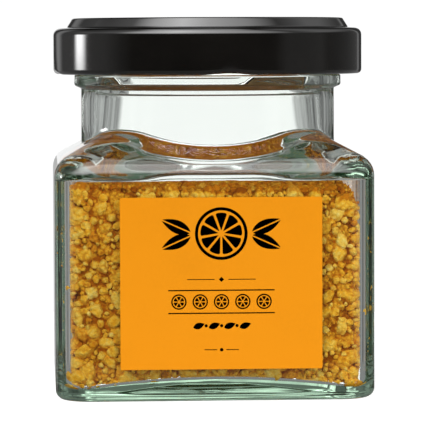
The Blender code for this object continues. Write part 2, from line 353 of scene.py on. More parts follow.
def jarRings(angles):
    g = glassShape
    rings = []

    def addSquare(half, corner, z):
        rings.append([polar(a, squareRadius(a, half, corner), z) for a in angles])

    def addRound(radius, z):
        rings.append([polar(a, radius, z) for a in angles])

    standing = bodyHalf - g["heelRadius"] - g["standingWidth"]
    lift = 0.12 * mm
    for share in (0.15, 0.3, 0.45, 0.6, 0.72, 0.82, 0.9, 0.96):
        z = g["recessDepth"] * (1 - share ** 2) + lift * (1 - share ** 8)
        addSquare(share * standing, share * 3 * mm, z)
    addSquare(standing, 3 * mm, 0.02 * mm)
    addSquare(standing + 0.5 * mm, 3.2 * mm, 0)
    for turn in arc(0, 90, 9):
        inset = g["heelRadius"] * (1 - math.sin(turn))
        addSquare(bodyHalf - inset, g["bodyCorner"] - inset, g["heelRadius"] * (1 - math.cos(turn)))
    # Rows close to each bend keep the flat sides' reflections straight
    foot = g["heelRadius"]
    top = g["shoulderStart"]
    for z in (foot + 0.15 * mm, *np.linspace(foot + 1 * mm, top - 1 * mm, 7), top - 0.15 * mm, top):
        rings.append([outerSkin.point(a, z) for a in angles])
    for share in outerRows:
        rings.append([outerSkin.shoulder(a, share) for a in angles])
    # Ring below the lid: a bevel under it, an upright side, rounded edges
    addRound(g["neckRadius"], g["ringBottom"] - 2.2 * mm)
    for turn in arc(0, 60, 3):
        addRound(g["neckRadius"] + 0.4 * mm * (1 - math.cos(turn)),
                 g["ringBottom"] - 0.55 * mm + 0.35 * mm * math.sin(turn))
    for turn in arc(-60, 0, 4):
        rings.append([polar(a, g["ringRadius"] - 0.6 * mm * (1 - math.cos(turn)) - ringLean(a),
                            g["ringBottom"] + 0.6 * mm + 0.6 * mm * math.sin(turn)) for a in angles])
    for turn in arc(0, 90, 5):
        addRound(g["ringRadius"] - 0.3 * mm * (1 - math.cos(turn)),
                 g["ringTop"] - 0.3 * mm * (1 - math.sin(turn)))
    addRound(g["finishRadius"] + 0.2 * mm, g["ringTop"])
    addRound(g["finishRadius"], g["ringTop"] + 0.15 * mm)
    for side in np.linspace(-1, 1, 9):
        bulge = math.cos(side * math.pi / 2) ** 1.5 if abs(side) < 1 else 0.0
        rings.append([polar(a, g["finishRadius"] + bulge * threadHeight(a),
                            g["threadMiddle"] + threadShift(a) + side * g["threadHalfWidth"])
                      for a in angles])
    for turn in arc(0, 90, 5):
        addRound(g["finishRadius"] - g["rimRound"] * (1 - math.cos(turn)),
                 rimHeight - g["rimRound"] * (1 - math.sin(turn)))
    for turn in arc(90, 0, 4):
        addRound(g["neckBore"] + 0.5 * mm * (1 - math.cos(turn)), rimHeight - 0.5 * mm * (1 - math.sin(turn)))
    for z in (61 * mm, 58.5 * mm, 56 * mm):
        addRound(g["neckBore"], z)
    for share in innerRows:
        rings.append([innerSkin.shoulder(a, share) for a in angles])
    top = innerSkin.start
    foot = g["floorMiddle"] + g["floorFillet"]
    for z in (top, top - 0.15 * mm, *np.linspace(top - 1 * mm, foot + 1 * mm, 6), foot + 0.2 * mm):
        rings.append([innerSkin.point(a, z) for a in angles])
    for turn in arc(0, 90, 6):
        inset = g["floorFillet"] * (1 - math.cos(turn))
        ring = []
        for a in angles:
            reach = squareRadius(a, innerSkin.half - inset, max(innerSkin.corner - 0.6 * inset, 1 * mm))
            spot = polar(a, reach, 0)
            spot.z = floorHeight(spot.x, spot.y) + g["floorFillet"] * (1 - math.sin(turn))
            ring.append(spot)
        rings.append(ring)
    for share in (0.93, 0.84, 0.72, 0.58, 0.43, 0.28, 0.14):
        ring = []
        for a in angles:
            spot = polar(a, share * squareRadius(a, innerSkin.half - g["floorFillet"], 2.8 * mm), 0)
            spot.z = floorHeight(spot.x, spot.y)
            ring.append(spot)
        rings.append(ring)
    return rings


def makeJar():
    g = glassShape
    angles = jarAngles(g["segments"], g["cornerCrowding"])
    bm = loft(jarRings(angles), (0, 0, g["recessDepth"] + 0.12 * mm), (0, 0, g["floorMiddle"]))
    jar = finishPiece("jarGlass", bm, glassMaterial(), 180)
    place(jar, "glass", "jar")
    print("jar: smooth glass body made")


# Lid

lidShape = {
    "sheet": 0.4 * mm,
    "ledge": lidTop - 1.8 * mm,
    "edgeRadius": 1.3 * mm,
    "curl": 0.8 * mm,
    "plateauFoot": 25.6 * mm,
    "plateauRadius": 24.9 * mm,
    "plateauRound": 0.5 * mm,
    "panelDrop": 0.25 * mm,
    "panelRadius": 20.5 * mm,
    "lugCount": 4,
    "lugTurn": math.radians(5),
    "lugReach": 0.55 * mm,
    "segments": 240,
}


def lidMaterial():
    material, tree, shader = newMaterial("black gloss lacquer", Base_Color=(0.006, 0.0052, 0.0042, 1),
                                         Roughness=0.13, IOR=1.5, Coat_Weight=0.25, Coat_Roughness=0.05)
    grime = grain(tree, 130.0, 6.0, 0.65)
    rough = addNode(tree, "ShaderNodeMapRange", Value=grime, From_Min=0.35, From_Max=0.75, To_Min=0.07,
                    To_Max=0.12)
    tree.links.new(rough.outputs[0], shader.inputs["Roughness"])
    shade = ramp(tree, grime, [(0.3, (0.0022, 0.0019, 0.0016)), (0.75, (0.0045, 0.0039, 0.0032))])
    tree.links.new(shade, shader.inputs["Base Color"])
    addBump(tree, shader, grain(tree, 420.0, 3.0), 0.5, 0.004 * mm)
    return material


def lidLiningMaterial():
    material, tree, shader = newMaterial("golden brown lining", Roughness=0.35)
    shade = ramp(tree, grain(tree, 260.0, 4.0), [(0.3, (0.50, 0.29, 0.10)), (0.7, (0.66, 0.41, 0.16))])
    tree.links.new(shade, shader.inputs["Base Color"])
    return material


def lidProfile():
    s = lidShape
    outline = [(0.0, lidTop - s["panelDrop"]), (s["panelRadius"], lidTop - s["panelDrop"])]
    outline += [(s["panelRadius"] + 0.5 * mm, lidTop - 0.6 * s["panelDrop"])]
    outline += [(s["panelRadius"] + 1.0 * mm, lidTop)]
    for turn in arc(0, 75, 5):
        outline.append((s["plateauRadius"] - s["plateauRound"] * (1 - math.sin(turn)),
                        lidTop - s["plateauRound"] * (1 - math.cos(turn))))
    # Foot of the raised middle, with a soft groove
    for turn in arc(0, 90, 3):
        outline.append((s["plateauFoot"] + 0.4 * mm * (1 - math.cos(turn)),
                        s["ledge"] + 0.3 * mm * (1 - math.sin(turn))))
    for turn in arc(0, 90, 7):
        outline.append((lidRadius - s["edgeRadius"] * (1 - math.sin(turn)),
                        s["ledge"] - s["edgeRadius"] * (1 - math.cos(turn))))
    for z in (s["ledge"] - s["edgeRadius"] - 0.1 * mm, 62 * mm, 60 * mm, lidBottom + s["curl"] + 0.1 * mm):
        outline.append((lidRadius, z))
    for turn in arc(0, 270, 14):
        outline.append((lidRadius - s["curl"] * (1 - math.cos(turn)),
                        lidBottom + s["curl"] * (1 - math.sin(turn))))
    inner = lidRadius - s["sheet"]
    outline.append((inner, lidBottom + 2.6 * mm))
    outline.append((inner, s["ledge"] - s["edgeRadius"]))
    outline.append((inner - 0.9 * mm, s["ledge"] - s["sheet"]))
    outline.append((s["plateauFoot"] - 0.3 * mm, s["ledge"] - s["sheet"]))
    outline.append((s["plateauRadius"] - s["sheet"], lidTop - s["sheet"] - s["panelDrop"]))
    outline.append((0.0, lidTop - s["sheet"] - s["panelDrop"]))
    return outline


def pinchLug(vert):  # the curl is pressed in where it grips a thread
    s = lidShape
    height = vert.co.z - lidBottom
    reach = math.hypot(vert.co.x, vert.co.y)
    if height > 1.9 * mm or reach < lidRadius - 3 * mm:
        return
    turn = (math.atan2(vert.co.y, vert.co.x) - s["lugTurn"]) * s["lugCount"] / (2 * math.pi)
    away = abs(turn - round(turn)) * 2 * math.pi / s["lugCount"]
    strength = max(0.0, math.cos(min(away / math.radians(11), 1.0) * math.pi / 2)) ** 1.5
    inward = strength * max(0.0, 1 - height / (1.9 * mm))
    share = 1 - inward * s["lugReach"] * (0.35 + 0.65 * (lidRadius - reach) / (1.6 * mm)) / reach
    vert.co.x *= share
    vert.co.y *= share
    vert.co.z += 0.25 * mm * inward


def makeLid():
    bm = bmesh.new()
    verts = [bm.verts.new((radius, 0, z)) for radius, z in lidProfile()]
    edges = [bm.edges.new(pair) for pair in zip(verts, verts[1:])]
    bmesh.ops.spin(bm, geom=verts + edges, cent=(0, 0, 0), axis=(0, 0, 1), angle=2 * math.pi,
                   steps=lidShape["segments"], use_merge=True)
    bmesh.ops.remove_doubles(bm, verts=bm.verts, dist=0.004 * mm)
    for vert in bm.verts:
        pinchLug(vert)
    lid = finishPiece("lidShell", bm, lidMaterial(), 50)
    lid.data.materials.append(lidLiningMaterial())
    inner = lidRadius - lidShape["sheet"]
    for face in lid.data.polygons:  # the lining covers all that faces the jar
        middle = face.center
        reach = math.hypot(middle.x, middle.y)
        inward = middle.x * face.normal.x + middle.y * face.normal.y < -0.3 * reach
        ceiling = face.normal.z < -0.3 and middle.z > lidBottom + 3 * mm
        if reach < inner + 0.05 * mm and middle.z > lidBottom + 2 * mm and (inward or ceiling):
            face.material_index = 1
    place(lid, "lid_lacquer", "lid")
    print("lid: lacquered shell made")


# Label and its print

labelLook = {
    "thickness": 0.16 * mm,
    "paper": (0.515, 0.181, 0.0038),
    "ink": (0.018, 0.0042, 0.0022, 1),
    "inkLift": 0.012 * mm,
    "inkDepth": 0.012 * mm,
}
labelFront = -bodyHalf - 0.02 * mm - labelLook["thickness"]
labelMiddle = Vector(((labelLow[0] + labelHigh[0]) / 2, labelFront, (labelLow[2] + labelHigh[2]) / 2))
labelWidth = labelHigh[0] - labelLow[0]
labelHeight = labelHigh[2] - labelLow[2]


def paperMaterial():
    k = labelLook
    material, tree, shader = newMaterial("printed orange paper", Roughness=0.75, Specular_IOR_Level=0.08)
    fibre = grain(tree, 1600.0, 4.0, 0.7)
    blend = addNode(tree, "ShaderNodeMath", {"operation": "ADD"}, i0=fibre, i1=grain(tree, 90.0, 2.0))
    low = tuple(0.975 * c for c in k["paper"])
    high = tuple(min(1.02 * c, 1.0) for c in k["paper"])
    tree.links.new(ramp(tree, blend.outputs[0], [(0.6, low), (1.0, high)]), shader.inputs["Base Color"])
    addBump(tree, shader, fibre, 0.25, 0.02 * mm)
    return material


def inkMaterial():
    material, tree, shader = newMaterial("dark brown ink", Base_Color=labelLook["ink"], Roughness=0.5,
                                         Specular_IOR_Level=0.3)
    stops = [(0.35, labelLook["ink"]), (0.8, (0.030, 0.0095, 0.0055, 1))]
    shade = ramp(tree, grain(tree, 1400.0, 3.0), stops)
    tree.links.new(shade, shader.inputs["Base Color"])
    return material


def makeLabel():
    bm = bmesh.new()
    bmesh.ops.create_cube(bm, size=1)
    depth = labelLook["thickness"]
    bmesh.ops.scale(bm, verts=bm.verts, vec=(labelWidth, depth, labelHeight))
    bmesh.ops.translate(bm, verts=bm.verts, vec=labelMiddle + Vector((0, depth / 2, 0)))
    upright = [e for e in bm.edges if abs(e.verts[0].co.y - e.verts[1].co.y) > depth / 2]
    bmesh.ops.bevel(bm, geom=upright, offset=0.25 * mm, affect="EDGES", segments=3, profile=0.5, material=-1)
    label = finishPiece("labelPaper", bm, paperMaterial(), 30)
    place(label, "label_paper", "label")
    print("label: paper made")


# The print is a generic ornament: an orange cut through, leaves, rules and dots.
# Places are millimetres right of and above the label's middle.

printShape = {
    "wheelAt": (0.0, 8.7),
    "wheelRadius": 4.6,
    "rind": 0.55,
    "segmentCount": 9,
    "segmentGap": 0.34,
    "leafLength": 5.4,
    "leafWidth": 2.3,
    "bandAt": -3.2,
    "bandHalf": 9.3,
    "lowBandAt": -7.4,
    "lowBandHalf": 5.4,
    "footRule": -11.6,
}


def addPatch(bm, outline, x=0.0, z=0.0, turn=0.0):
    # A closed outline in millimetres becomes a thin printed patch on the paper
    spin = Matrix.Rotation(turn, 2)
    verts = []
    for u, v in outline:
        moved = spin @ Vector((u, v))
        verts.append(bm.verts.new((labelMiddle.x + (x + moved.x) * mm, labelFront - labelLook["inkLift"],
                                   labelMiddle.z + (z + moved.y) * mm)))
    bm.faces.new(verts)


def circleOutline(radius):
    return [(radius * math.cos(t), radius * math.sin(t)) for t in arc(0, 360, 20)[:-1]]


def addRingPatch(bm, outer, inner, x, z, count=72):
    angles = arc(0, 360, count)
    for a, b in zip(angles, angles[1:]):
        corners = [(outer * math.cos(a), outer * math.sin(a)), (outer * math.cos(b), outer * math.sin(b)),
                   (inner * math.cos(b), inner * math.sin(b)), (inner * math.cos(a), inner * math.sin(a))]
        addPatch(bm, corners, x, z)


def addBar(bm, x, z, halfWidth, halfHeight, turn=0.0):
    addPatch(bm, [(-halfWidth, -halfHeight), (halfWidth, -halfHeight), (halfWidth, halfHeight),
                  (-halfWidth, halfHeight)], x, z, turn)


def wheelSegment(radius, count, gap):  # one wedge of the cut orange, corners rounded
    half = math.pi / count
    inner = gap / 2 / math.sin(half)
    outline = [(inner, 0.0)]
    for t in np.linspace(-1, 1, 9):
        turn = t * (half - gap / 2 / radius) * (1 - 0.06 * abs(t) ** 6)
        reach = radius * (1 - 0.05 * abs(t) ** 6)
        outline.append((reach * math.cos(turn), reach * math.sin(turn)))
    return outline


def leafOutline(length, width, count=14):
    upper = []
    lower = []
    for t in np.linspace(0, 1, count):
        half = width / 2 * math.sin(math.pi * t ** 0.85) ** 0.9 if 0 < t < 1 else 0.0
        upper.append((length * t, half))
        lower.append((length * t, -half))
    return lower + upper[-2:0:-1]


def addLeaf(bm, x, z, turn):
    # Two halves with the midrib left bare
    length = printShape["leafLength"]
    width = printShape["leafWidth"]
    for side in (-1, 1):
        outline = [(u, side * 0.12 + v * 0.9) for u, v in leafOutline(length, width) if v * side >= 0]
        if side > 0:
            outline = outline[::-1]
        addPatch(bm, outline[::-1], x, z, turn)


def makePrint():
    p = printShape
    bm = bmesh.new()
    x, z = p["wheelAt"]
    addRingPatch(bm, p["wheelRadius"], p["wheelRadius"] - p["rind"], x, z)
    segment = wheelSegment(p["wheelRadius"] - p["rind"] - 0.4, p["segmentCount"], p["segmentGap"])
    for number in range(p["segmentCount"]):
        addPatch(bm, segment, x, z, 2 * math.pi * number / p["segmentCount"] + math.pi / 2)
    for side in (-1, 1):
        base = 0 if side > 0 else math.pi
        addLeaf(bm, x + side * (p["wheelRadius"] + 0.8), z + 0.2, base + side * math.radians(24))
        addLeaf(bm, x + side * (p["wheelRadius"] + 0.8), z - 0.4, base - side * math.radians(24))
    # Thin rule with a lozenge in its middle
    addBar(bm, x, z - 8.0, 0.32, 0.32, math.radians(45))
    for side in (-1, 1):
        addBar(bm, x + side * 3.6, z - 8.0, 2.4, 0.07)
    # Band of small cut oranges between two rules
    for height in (p["bandAt"] + 2.0, p["bandAt"] - 2.0):
        addBar(bm, x, height, p["bandHalf"], 0.11)
    for number in range(5):
        middle = x + (number - 2) * 2 * p["bandHalf"] / 5
        addRingPatch(bm, 1.35, 1.1, middle, p["bandAt"], 40)
        for wedge in range(6):
            addPatch(bm, wheelSegment(0.92, 6, 0.16), middle, p["bandAt"], math.pi / 3 * wedge + math.pi / 6)
    # Short row of leaves and dots
    for number in range(4):
        middle = x + (number - 1.5) * 2 * p["lowBandHalf"] / 4
        addPatch(bm, leafOutline(2.1, 1.1)[::-1], middle - 0.9, p["lowBandAt"] - 0.35, math.radians(20))
    for number in range(3):
        addPatch(bm, circleOutline(0.28)[::-1], x + (number - 1) * 2 * p["lowBandHalf"] / 4, p["lowBandAt"])
    for side in (-1, 1):
        addBar(bm, x + side * 1.9, p["footRule"], 1.1, 0.07)
    addPatch(bm, circleOutline(0.3)[::-1], x, p["footRule"])
    for face in bm.faces:
        if face.normal.y > 0:
            face.normal_flip()
    bmesh.ops.solidify(bm, geom=bm.faces, thickness=labelLook["inkDepth"])
    ink = finishPiece("labelPrint", bm, inkMaterial(), 30)
    place(ink, "label_paper")
    print("label: printed ornament made")


# Peel: a lumpy core, with loose granules over its sides, foot and top

heapLook = {
    "level": 37.6 * mm,
    "coreInset": 0.5 * mm,
    "bump": 1.0 * mm,
    "seed": 7,
}


def heapTop(x, y):  # a little higher to the left, sunk at the front right corner
    dip = 2.6 * mm * math.exp(-((x - 25 * mm) ** 2 + (y + 22 * mm) ** 2) / (2 * (4 * mm) ** 2))
    wave = 0.5 * mm * math.cos(x / (8 * mm)) * math.cos(y / (9 * mm) + 0.6)
    return heapLook["level"] - 0.012 * x - dip + wave


def cavityDistance(points):
    # How far points are outside the cavity; below zero is inside
    corner = innerSkin.corner
    rise = np.clip(points[:, 2] - innerSkin.start, 0, None)
    half = innerSkin.half - np.clip(rise - 0.55 * mm, 0, None) * 1.6
    q = np.abs(points[:, :2]) - (half - corner)[:, None]
    side = np.hypot(*np.clip(q, 0, None).T) + np.minimum(q.max(axis=1), 0) - corner
    down = floorHeight(points[:, 0], points[:, 1]) - points[:, 2]
    f = glassShape["floorFillet"]
    pair = np.stack([side + f, down + f])
    return np.hypot(*np.clip(pair, 0, None)) + np.minimum(pair.max(axis=0), 0) - f


def squarePoint(run, half, corner):
    # A point and its outward direction, run along the rounded square's outline (0 to 1)
    straight = 2 * (half - corner)
    bend = math.pi / 2 * corner
    length = run % 1.0 * 4 * (straight + bend)
    side = int(length // (straight + bend))
    rest = length - side * (straight + bend)
    if rest < straight:
        spot = Vector((half, rest - straight / 2))
        out = Vector((1, 0))
    else:
        turn = (rest - straight) / corner
        out = Vector((math.cos(turn), math.sin(turn)))
        spot = Vector((half - corner, straight / 2)) + out * corner
    turned = Matrix.Rotation(side * math.pi / 2, 2)
    return turned @ spot, turned @ out


peelKinds = {
    # share of the granules, then dark, middle and light colour
    "peelGold": (0.25, (0.58, 0.180, 0.006), (0.93, 0.465, 0.031), (0.99, 0.63, 0.100)),
    "peelHoney": (0.25, (0.62, 0.200, 0.006), (0.95, 0.495, 0.037), (0.99, 0.65, 0.120)),
    "peelPale": (0.22, (0.68, 0.270, 0.018), (0.96, 0.570, 0.070), (0.99, 0.73, 0.190)),
    "peelAmber": (0.22, (0.54, 0.150, 0.004), (0.90, 0.410, 0.020), (0.97, 0.58, 0.070)),
    "peelBrown": (0.06, (0.34, 0.080, 0.002), (0.74, 0.270, 0.012), (0.92, 0.46, 0.040)),
}


def peelMaterial(name, dark, middle, light):
    material, tree, shader = newMaterial(name, Roughness=0.9, Specular_IOR_Level=0.05)
    place3d = addNode(tree, "ShaderNodeTexCoord").outputs["Object"]
    # the attribute holds random tone plus painted shade in the clefts and on the heap's top
    toneAndShade = addNode(tree, "ShaderNodeAttribute", {"attribute_name": "toneAndShade"}).outputs["Fac"]
    warp = addNode(tree, "ShaderNodeTexNoise", Vector=place3d, Scale=900.0, Detail=2.0)
    bend = addNode(tree, "ShaderNodeVectorMath", {"operation": "MULTIPLY_ADD"}, i0=warp.outputs["Color"],
                   i1=(0.0007, 0.0007, 0.0007), i2=place3d)
    # Small rounded knobs with creases between them, for the bumps and for painted shade in the creases
    knob = addNode(tree, "ShaderNodeTexVoronoi", {"feature": "SMOOTH_F1"}, Vector=bend.outputs[0],
                   Scale=1500.0, Smoothness=0.35).outputs["Distance"]
    blotch = grain(tree, 700.0, 5.0, 0.65)
    crumb = grain(tree, 4200.0, 3.0, 0.6)

    def blend(a, factor, b):
        settings = {"operation": "MULTIPLY_ADD"}
        return addNode(tree, "ShaderNodeMath", settings, i0=a, i1=factor, i2=b).outputs[0]

    # painted shade: the colour darkens in the creases between the knobs, on top of random blotches and crumbs
    fine = blend(crumb, 0.4, blend(blotch, 1.0, blend(knob, -0.9, toneAndShade)))
    spread = addNode(tree, "ShaderNodeMapRange", Value=fine, From_Min=-0.3, From_Max=0.75)
    color = ramp(tree, spread.outputs[0], [(0.0, dark), (0.5, middle), (1.0, light)])
    tree.links.new(color, shader.inputs["Base Color"])
    addBump(tree, shader, blend(knob, -1.0, crumb), 1.0, 0.3 * mm)
    return material


def crumbTemplates(rng, subdivisions, count):
    # Unit lumps of crushed peel: squashed balls that carry rounded knobs, no two alike
    templates = []
    for _ in range(count):
        bm = bmesh.new()
        bmesh.ops.create_icosphere(bm, subdivisions=subdivisions, radius=1)
        offset = Vector([rng.uniform(-50, 50) for _ in range(3)])
        knobs = [(Vector([rng.gauss(0, 1) for _ in range(3)]).normalized(), rng.uniform(0.1, 0.34))
                 for _ in range(rng.randint(7, 12))]
        stretch = Vector((rng.uniform(0.85, 1.2), rng.uniform(0.8, 1.05), rng.uniform(0.65, 0.95)))
        for vert in bm.verts:
            way = vert.co.normalized()
            lift = max(height * math.exp(-(way.angle(knob) / 0.5) ** 2) for knob, height in knobs)
            reach = 0.8 + lift + 0.22 * noise.noise(way * 1.4 + offset)
            vert.co = Vector([a * b * reach for a, b in zip(way, stretch)])
        verts = np.array([v.co[:] for v in bm.verts])
        faces = np.array([[v.index for v in f.verts] for f in bm.faces])
        bm.free()
        templates.append((verts, faces))
    return templates


def scatterDiscs(rng, sizes, sample, overlap):
    # Throws round footprints, largest first, so that they overlap only a little
    cell = 3.8 * mm
    taken = {}
    placed = []
    for count, low, high in sizes:
        for _ in range(count):
            u, v = sample()
            radius = rng.uniform(low, high)
            column = int(u / cell)
            row = int(v / cell)
            around = [(column + i, row + j) for i in (-1, 0, 1) for j in (-1, 0, 1)]
            near = [spot for key in around for spot in taken.get(key, ())]
            if all((a - u) ** 2 + (b - v) ** 2 > (overlap * (r + radius)) ** 2 for a, b, r in near):
                taken.setdefault((column, row), []).append((u, v, radius))
                placed.append((u, v, radius))
    return placed


granuleSizes = {
    "large": (1500, 1.35 * mm, 2.15 * mm),
    "middle": (4500, 0.7 * mm, 1.1 * mm),
    "small": (8000, 0.4 * mm, 0.65 * mm),
    "overlap": 0.62,
    "sink": 0.72,  # centre's depth behind the glass, in radii
    "topShare": 0.42,  # of these numbers, on the heap's top
    "footShare": 0.55,
}


def gatherGranules(rng):
    # Place and radius of every granule
    k = granuleSizes
    granules = []
    half = innerSkin.half
    corner = innerSkin.corner
    around = 8 * (half - corner) + 2 * math.pi * corner
    low = glassShape["floorAtWall"] - 1.2 * mm
    high = heapLook["level"] + 0.9 * mm
    edge = half - 0.8 * mm
    sizes = [k["large"], k["middle"], k["small"]]

    def onWall():
        return rng.uniform(0, around), rng.uniform(low, high)

    def onGround():
        return rng.uniform(-edge, edge), rng.uniform(-edge, edge)

    for run, z, radius in scatterDiscs(rng, sizes, onWall, k["overlap"]):
        spot, out = squarePoint(run / around, half, corner)
        spot = spot - out * radius * k["sink"]
        if z + 0.75 * radius < heapTop(spot.x, spot.y):
            granules.append((Vector((spot.x, spot.y, z)), radius))
    for share, isTop in ((k["topShare"], True), (k["footShare"], False)):
        fewer = [(int(count * share), a, b) for count, a, b in sizes]
        for x, y, radius in scatterDiscs(rng, fewer, onGround, k["overlap"]):
            if isTop:
                z = heapTop(x, y) - 0.75 * radius + rng.uniform(-0.35, 0.05) * mm
            else:
                z = floorHeight(x, y) + radius * k["sink"]
            granules.append((Vector((x, y, z)), radius))
    return granules


def joinCrumbs(name, crumbs, material):
    # One mesh from arrays: each crumb is (verts, faces, tones with painted shade)
    starts = np.cumsum([0] + [len(c[0]) for c in crumbs])
    verts = np.concatenate([c[0] for c in crumbs])
    faces = np.concatenate([c[1] + start for c, start in zip(crumbs, starts)])
    tonesAndShade = np.concatenate([c[2] for c in crumbs])
    mesh = bpy.data.meshes.new(name)
    mesh.from_pydata(verts.tolist(), [], faces.tolist())
    mesh.attributes.new("toneAndShade", "FLOAT", "POINT").data.foreach_set("value", tonesAndShade.astype(np.float32))
    mesh.materials.append(material)
    mesh.shade_smooth()
    piece = bpy.data.objects.new(name, mesh)
    bpy.context.scene.collection.objects.link(piece)
    place(piece, "peel")


def paintedShade(points):  # painted shade: grains darken into the clefts behind the glass, and the heap's top is painted darker as if in the lid's shadow
    depth = -cavityDistance(points)
    shadedTop = points[:, 2] > np.array([heapTop(x, y) for x, y in points[:, :2]]) - 0.9 * mm
    # painted shade on the heap's top, and painted shade growing with depth into the clefts
    return np.where(shadedTop, -0.6, -0.7 * np.clip((depth - 0.3 * mm) / (1.0 * mm), 0, 1))


def pressFlat(points, reach):  # what would stick out through the glass is squashed against it
    for _ in range(2):
        over = cavityDistance(points) - reach
        out = over > 0
        if not out.any():
            break
        here = points[out]
        step = 1e-5
        base = cavityDistance(here)
        slope = np.stack([cavityDistance(here + step * axis) - base for axis in np.eye(3)], axis=1)
        slope /= np.maximum(np.linalg.norm(slope, axis=1, keepdims=True), 1e-12)
        points[out] = here - slope * over[out, None]
    return points


def makeGranules():
    rng = random.Random(heapLook["seed"])
    coarse = crumbTemplates(rng, 3, 30)
    plain = crumbTemplates(rng, 2, 18)
    names = list(peelKinds)
    weights = [peelKinds[name][0] for name in names]
    batches = {name: [] for name in names}
    reachIn = 0.02 * mm  # every tenth one reaches just into the wall
    for spot, radius in gatherGranules(rng):
        templates = coarse if radius > 1.0 * mm else plain
        verts, faces = rng.choice(templates)
        turn = np.array(Euler([rng.uniform(0, 2 * math.pi) for _ in range(3)]).to_matrix())
        shape = verts @ turn.T * radius
        points = pressFlat(shape + np.array(spot), reachIn if rng.random() < 0.1 else -reachIn)
        if spot.z > heapTop(spot.x, spot.y) + 0.7 * mm:
            continue
        name = rng.choices(names, weights)[0]
        # random tone per granule plus painted shade in the clefts and on the heap's top
        batches[name].append((points, faces, rng.uniform(-0.16, 0.2) + paintedShade(points)))
    for name, crumbs in batches.items():
        _, dark, middle, light = peelKinds[name]
        joinCrumbs(name, crumbs, peelMaterial(name + " skin", dark, middle, light))
        print("peel:", name, len(crumbs), "granules", sum(len(c[1]) for c in crumbs), "triangles")


def makeCore():
    angles = jarAngles(600, 0.05)
    inset = heapLook["coreInset"]
    rings = []

    def lump(spot):  # clumps with narrow clefts between them, each with small knobs
        clump = noise.voronoi(spot / (2.4 * mm))[0]
        knob = noise.voronoi(spot / (0.95 * mm))[0]
        cleft = math.exp((clump[0] - clump[1]) / 0.16)
        crease = math.exp((knob[0] - knob[1]) / 0.22)
        return (0.45 * noise.noise(spot / (1.9 * mm)) - 0.75 * cleft - 0.3 * crease) * heapLook["bump"]

    def ringAt(share, lift):
        ring = []
        for a in angles:
            spot = polar(a, share * squareRadius(a, innerSkin.half - inset, 3 * mm), 0)
            spot.z = lift(spot)
            ring.append(spot)
        return ring

    def footLift(spot):
        return floorHeight(spot.x, spot.y) + 0.4 * mm - lump(spot)

    def topLift(spot):
        return heapTop(spot.x, spot.y) - 0.5 * mm + lump(spot * 1.01)

    for share in (0.1, 0.25, 0.4, 0.52, 0.63, 0.72, 0.8, 0.87, 0.93, 0.97, 0.99):
        rings.append(ringAt(share, footLift))
    bottom = glassShape["floorAtWall"] + 0.5 * mm
    rows = 100
    for row in range(rows + 1):
        ring = []
        for a in angles:
            edge = polar(a, squareRadius(a, innerSkin.half - inset, 3 * mm), 0)
            edge.z = bottom + (heapTop(edge.x, edge.y) - 1.0 * mm - bottom) * row / rows
            ring.append(Vector((*(edge.xy * (1 + lump(edge) / edge.xy.length)), edge.z)))
        rings.append(ring)
    for share in (0.985, 0.965, 0.945, 0.92, 0.89, 0.86, 0.82, 0.78, 0.73, 0.68, 0.62, 0.55, 0.47, 0.38, 0.28,
                  0.18, 0.09):
        rings.append(ringAt(share, topLift))
    for ring in rings:  # kept a little inside the glass all round
        pressed = pressFlat(np.array([spot[:] for spot in ring]), -0.15 * mm)
        for spot, point in zip(ring, pressed):
            spot[:] = point
    bm = loft(rings, (0, 0, floorHeight(0, 0) + 0.5 * mm), (0, 0, heapTop(0, 0) - 0.5 * mm))
    material = peelMaterial("packed peel", (0.42, 0.110, 0.003), (0.90, 0.430, 0.024), (0.98, 0.62, 0.085))
    core = finishPiece("peelCore", bm, material, 180)
    # the core's tones are painted shade: darker deeper in the clefts and on the heap's top
    points = np.array([v.co[:] for v in core.data.vertices])
    tonesAndShade = paintedShade(points).astype(np.float32)
    core.data.attributes.new("toneAndShade", "FLOAT", "POINT").data.foreach_set("value", tonesAndShade)
    place(core, "peel", "orange_peel")
    print("peel: packed core made,", len(core.data.polygons), "faces")


# Studio: white surround, dark flags beside the jar, a tall strip at the left, a roof light

studio = {
    "distance": 550 * mm,
    "azimuth": -3.25,
    "height": 63.0 * mm,
    "pitch": 3.26,
    "yaw": 0.07,
    "roll": 0.22,
    "focalPixels": 3003,
    "imagePixels": 423,
}


def makeCamera():
    s = studio
    data = bpy.data.cameras.new("camera")
    data.sensor_width = 36
    data.lens = s["focalPixels"] / s["imagePixels"] * 36
    data.clip_start = 0.01
    camera = bpy.data.objects.new("camera", data)
    bpy.context.scene.collection.objects.link(camera)
    side = math.radians(-s["azimuth"])
    camera.location = (-s["distance"] * math.sin(side), -s["distance"] * math.cos(side), s["height"])
    heading = side + math.radians(s["yaw"])
    turn = Matrix.Rotation(-heading, 4, "Z") @ Matrix.Rotation(math.radians(90 - s["pitch"]), 4, "X")
    roll = Matrix.Rotation(-math.radians(s["roll"]), 4, "Z")
    camera.matrix_world = Matrix.Translation(camera.location) @ turn @ roll
    bpy.context.scene.camera = camera


lamps = {
    # place, aim, width and height in millimetres, then power in watts
    "roof": ((-90, -150, 420), (0, 0, 30), (380, 300), 0.4),
    "key": ((-140, -430, 300), (0, 0, 25), (260, 200), 1.35),
    "strip": ((-464, 188, 60), (0, 0, 30), (110, 500), 1.2),
    "front": ((60, -480, 40), (0, 0, 25), (300, 120), 0.9),
    "fill": ((430, -190, 150), (0, 0, 20), (200, 300), 1.1),
}


def addLight(name, origin, target, size, power):
    data = bpy.data.lights.new(name, "AREA")
    data.shape = "RECTANGLE"
    data.size = size[0] * mm
    data.size_y = size[1] * mm
    data.energy = power
    light = bpy.data.objects.new(name, data)
    bpy.context.scene.collection.objects.link(light)
    spot = Vector([value * mm for value in origin])
    aim = (Vector([value * mm for value in target]) - spot).to_track_quat("-Z", "Y").to_matrix().to_4x4()
    light.matrix_world = Matrix.Translation(spot) @ aim
    light.visible_camera = False
    light.visible_glossy = False
    light.visible_transmission = False


